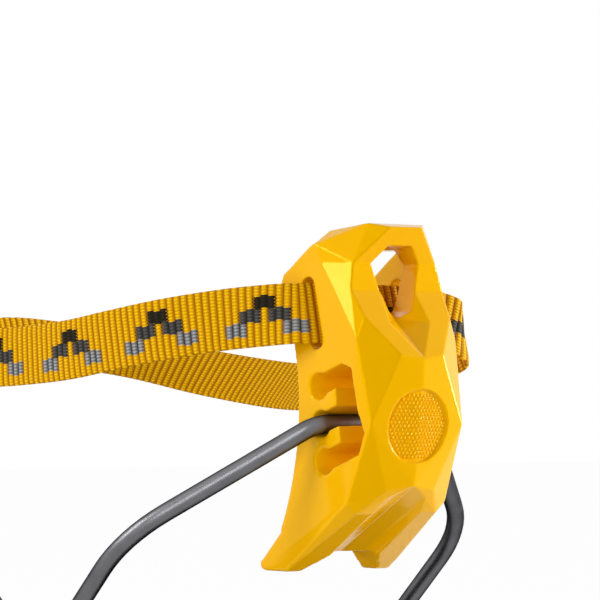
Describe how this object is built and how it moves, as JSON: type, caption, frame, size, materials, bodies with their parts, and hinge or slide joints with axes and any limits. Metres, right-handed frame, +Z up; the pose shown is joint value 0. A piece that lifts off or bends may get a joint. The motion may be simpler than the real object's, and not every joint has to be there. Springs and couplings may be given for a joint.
{
  "type": "twelve-point crampon",
  "caption": "Semi-rigid climbing crampon with a wire toe bail, a moulded heel lever on a wire bail, ankle webbing and a length-adjusting link bar.",
  "frame": {"origin": "middle of the heel platform's top face, where the boot's heel stands", "axes": "+X to the right, +Y towards the toe, +Z up out of the platform"},
  "size_m": [0.1141, 0.35, 0.154],
  "materials": {
    "frame_steel": "satin black chromoly sheet",
    "wire_steel": "dark gunmetal wire",
    "pin_steel": "bright zinc",
    "lever_plastic": "glossy moulded yellow",
    "webbing": "ribbed woven webbing",
    "pad_plastic": "matte black"
  },
  "bodies": {
    "rear_section": {"rear_frame": "frame_steel", "rear_pad": "pad_plastic", "rear_pad_clips": "pad_plastic", "rear_guide": "pin_steel", "front_guide": "pin_steel", "guide_rivets": "pin_steel", "lock_pin": "pin_steel"},
    "link": {"link_bar": "frame_steel"},
    "front_section": {"front_frame": "frame_steel", "front_pad": "pad_plastic", "front_pad_clips": "pad_plastic", "hinge_pin": "pin_steel", "hinge_pin_head": "pin_steel"},
    "lock": {"lock_lever": "pin_steel", "lock_peg": "pin_steel"},
    "toe_wire": {"toe_bail": "wire_steel"},
    "heel_wire": {"heel_bail": "wire_steel"},
    "lever": {"heel_lever": "lever_plastic", "ankle_strap": "webbing", "strap_tail": "webbing", "strap_keeper": "pad_plastic", "buckle_ring_inner": "wire_steel", "buckle_ring_outer": "wire_steel"}
  },
  "joints": [
    {"name": "length_slide", "type": "slide", "parent": "rear_section", "child": "link", "axis": [0, 1, 0], "range_m": [-0.03, 0.03]},
    {"name": "sole_flex", "type": "hinge", "parent": "link", "child": "front_section", "pos_m": [0, 0.132, -0.0095], "axis": [1, 0, 0], "range_deg": [-20, 20]},
    {"name": "toe_swing", "type": "hinge", "parent": "front_section", "child": "toe_wire", "pos_m": [0, 0.202, 0.009], "axis": [1, 0, 0], "range_deg": [-25, 110]},
    {"name": "heel_swing", "type": "hinge", "parent": "rear_section", "child": "heel_wire", "pos_m": [0, 0.009, 0.01], "axis": [1, 0, 0], "range_deg": [-90, 30], "deforming": ["ankle_strap", "strap_tail"]},
    {"name": "lever_tilt", "type": "hinge", "parent": "heel_wire", "child": "lever", "pos_m": [0, -0.0603, 0.07], "axis": [1, 0, 0], "range_deg": [-15, 100], "deforming": ["ankle_strap", "strap_tail"]},
    {"name": "lock_flip", "type": "hinge", "parent": "rear_section", "child": "lock", "pos_m": [0, 0.053, 0.00055], "axis": [1, 0, 0], "range_deg": [-16, 12]}
  ]
}
